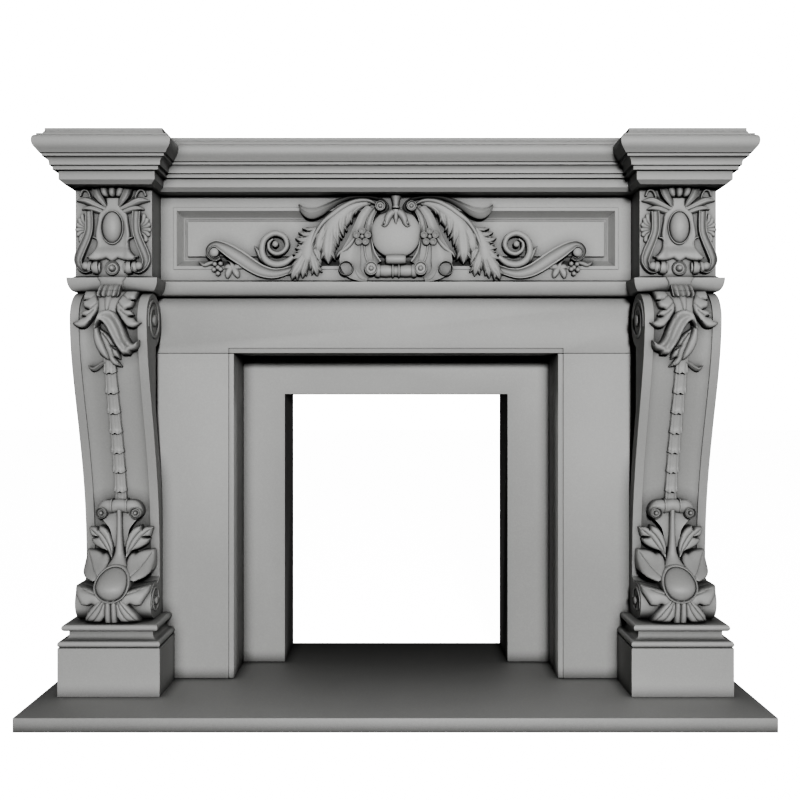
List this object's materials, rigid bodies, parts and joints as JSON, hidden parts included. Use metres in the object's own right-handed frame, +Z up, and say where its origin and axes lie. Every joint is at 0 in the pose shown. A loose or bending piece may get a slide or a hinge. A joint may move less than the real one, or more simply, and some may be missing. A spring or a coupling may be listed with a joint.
{
  "type": "fireplace",
  "caption": "Carved stone mantelpiece: moulded shelf that breaks forward at both ends, frieze with foliage cartouches, scrolled console legs on plinths, flat surround, lining and hearth slab.",
  "frame": {"origin": "on the floor under the middle of the hearth slab, halfway between its front edge and the back of the lining", "axes": "+X along the shelf to the viewer's right, +Y from the room into the wall, +Z up"},
  "size_m": [1.574, 0.616, 1.2723],
  "materials": {
    "stone": "fine-grained pale grey stone, rubbed smooth, with crisp carving"
  },
  "bodies": {
    "root": {"hearth_slab": "stone", "surround_jamb_left": "stone", "surround_jamb_right": "stone", "surround_header": "stone", "inner_frame": "stone", "plinth_left": "stone", "plinth_right": "stone", "leg_left": "stone", "leg_right": "stone", "frieze_block_left": "stone", "frieze_block_right": "stone", "frieze_panel": "stone", "mantel_shelf": "stone"}
  },
  "joints": []
}
